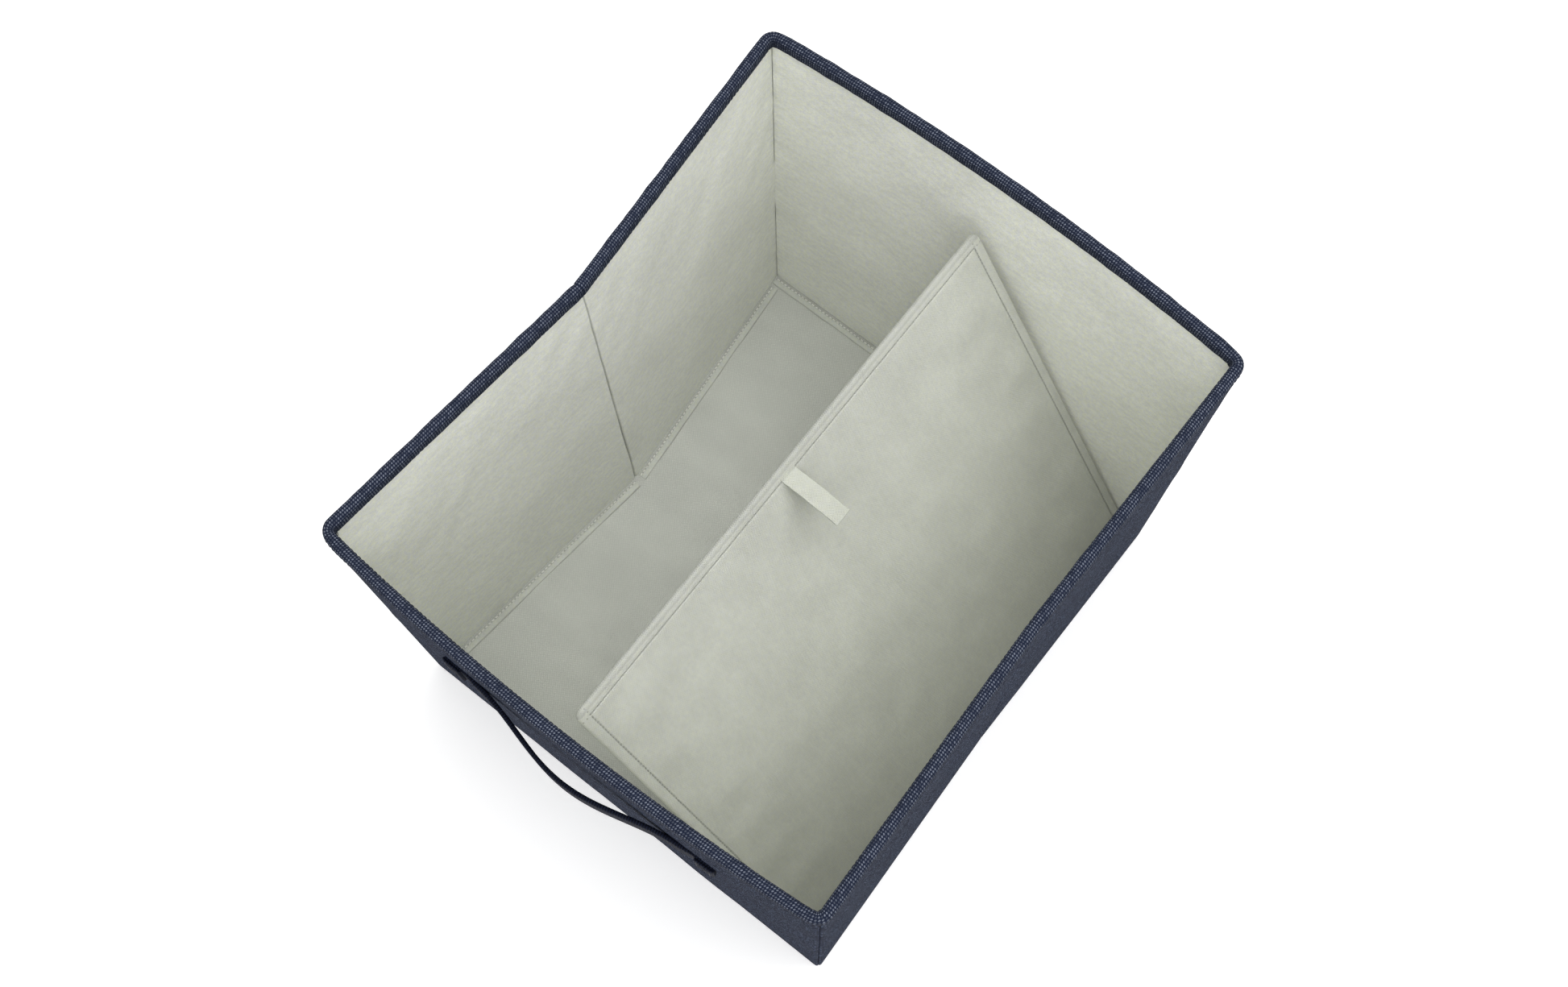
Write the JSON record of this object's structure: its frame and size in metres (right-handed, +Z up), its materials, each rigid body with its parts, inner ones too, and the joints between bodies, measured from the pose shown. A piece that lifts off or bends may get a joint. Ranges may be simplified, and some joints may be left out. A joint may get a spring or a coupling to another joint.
{
  "type": "fabric storage bin",
  "caption": "Collapsible open-topped fabric storage bin with board-stiffened walls, strap handles and a loose base insert tilted up inside.",
  "frame": {"origin": "middle of the base's underside, where the bin rests", "axes": "+X from the creased left wall to the right wall, +Y from the handle wall in view to the back wall, +Z up"},
  "size_m": [0.3334, 0.4172, 0.33],
  "materials": {
    "outer_cloth": "fine melange plain weave, navy and pale blue yarns, matte",
    "rim_cloth": "the same melange cloth, coarser, folded over the edge",
    "lining": "pale grey-green non-woven with a fine embossed grid, matte",
    "grey_board": "plain grey board, hidden inside the cloth",
    "webbing": "near-black navy ribbed webbing"
  },
  "bodies": {
    "root": {"front_cover": "outer_cloth", "front_board": "grey_board", "front_lining": "lining", "front_rim": "rim_cloth", "front_floor_seam": "lining", "back_cover": "outer_cloth", "back_board": "grey_board", "back_lining": "lining", "back_rim": "rim_cloth", "back_floor_seam": "lining", "right_front_cover": "outer_cloth", "right_front_board": "grey_board", "right_front_lining": "lining", "right_front_rim": "rim_cloth", "right_front_floor_seam": "lining", "right_rear_cover": "outer_cloth", "right_rear_board": "grey_board", "right_rear_lining": "lining", "right_rear_rim": "rim_cloth", "right_rear_floor_seam": "lining", "base_cover": "outer_cloth", "floor_lining": "lining", "front_handle_left_end": "webbing", "front_handle_right_end": "webbing", "back_handle_left_end": "webbing", "back_handle_right_end": "webbing"},
    "left_front_half": {"left_front_cover": "outer_cloth", "left_front_board": "grey_board", "left_front_lining": "lining", "left_front_rim": "rim_cloth", "left_front_floor_seam": "lining"},
    "left_rear_half": {"left_rear_cover": "outer_cloth", "left_rear_board": "grey_board", "left_rear_lining": "lining", "left_rear_rim": "rim_cloth", "left_rear_floor_seam": "lining"},
    "insert": {"insert_board": "grey_board", "insert_top_cover": "lining", "insert_bottom_cover": "lining"},
    "pull_tab": {"pull_tab": "lining"},
    "front_grip": {"front_handle_grip": "webbing"},
    "back_grip": {"back_handle_grip": "webbing"}
  },
  "joints": [
    {"name": "insert_tilt", "type": "hinge", "parent": "root", "child": "insert", "pos_m": [0.1553, 0, 0.0084], "axis": [0, 1, 0], "range_deg": [-59, 23]},
    {"name": "pull_tab_flip", "type": "hinge", "parent": "insert", "child": "pull_tab", "pos_m": [-0.0021, 0.0003, 0.27152], "axis": [0, 1, 0], "range_deg": [-45, 46], "stiffness_Nm_per_rad": 0.004},
    {"name": "left_front_fold", "type": "hinge", "parent": "root", "child": "left_front_half", "pos_m": [-0.1629, -0.1873, 0], "axis": [0, 0, 1], "range_deg": [-2.6, 6.2]},
    {"name": "left_rear_fold", "type": "hinge", "parent": "root", "child": "left_rear_half", "pos_m": [-0.1614, 0.187, 0], "axis": [0, 0, 1], "range_deg": [-6.2, 2.6]},
    {"name": "front_handle_swing", "type": "hinge", "parent": "root", "child": "front_grip", "pos_m": [0, -0.1955, 0.222], "axis": [1, 0, 0], "range_deg": [-28, 28], "stiffness_Nm_per_rad": 0.02},
    {"name": "back_handle_swing", "type": "hinge", "parent": "root", "child": "back_grip", "pos_m": [0, 0.1955, 0.222], "axis": [-1, 0, 0], "range_deg": [-28, 28], "stiffness_Nm_per_rad": 0.02}
  ],
  "couplings": [
    {"joint": "left_front_fold", "follows": "insert_tilt", "ratio": -0.10339},
    {"joint": "left_rear_fold", "follows": "insert_tilt", "ratio": 0.10339}
  ]
}
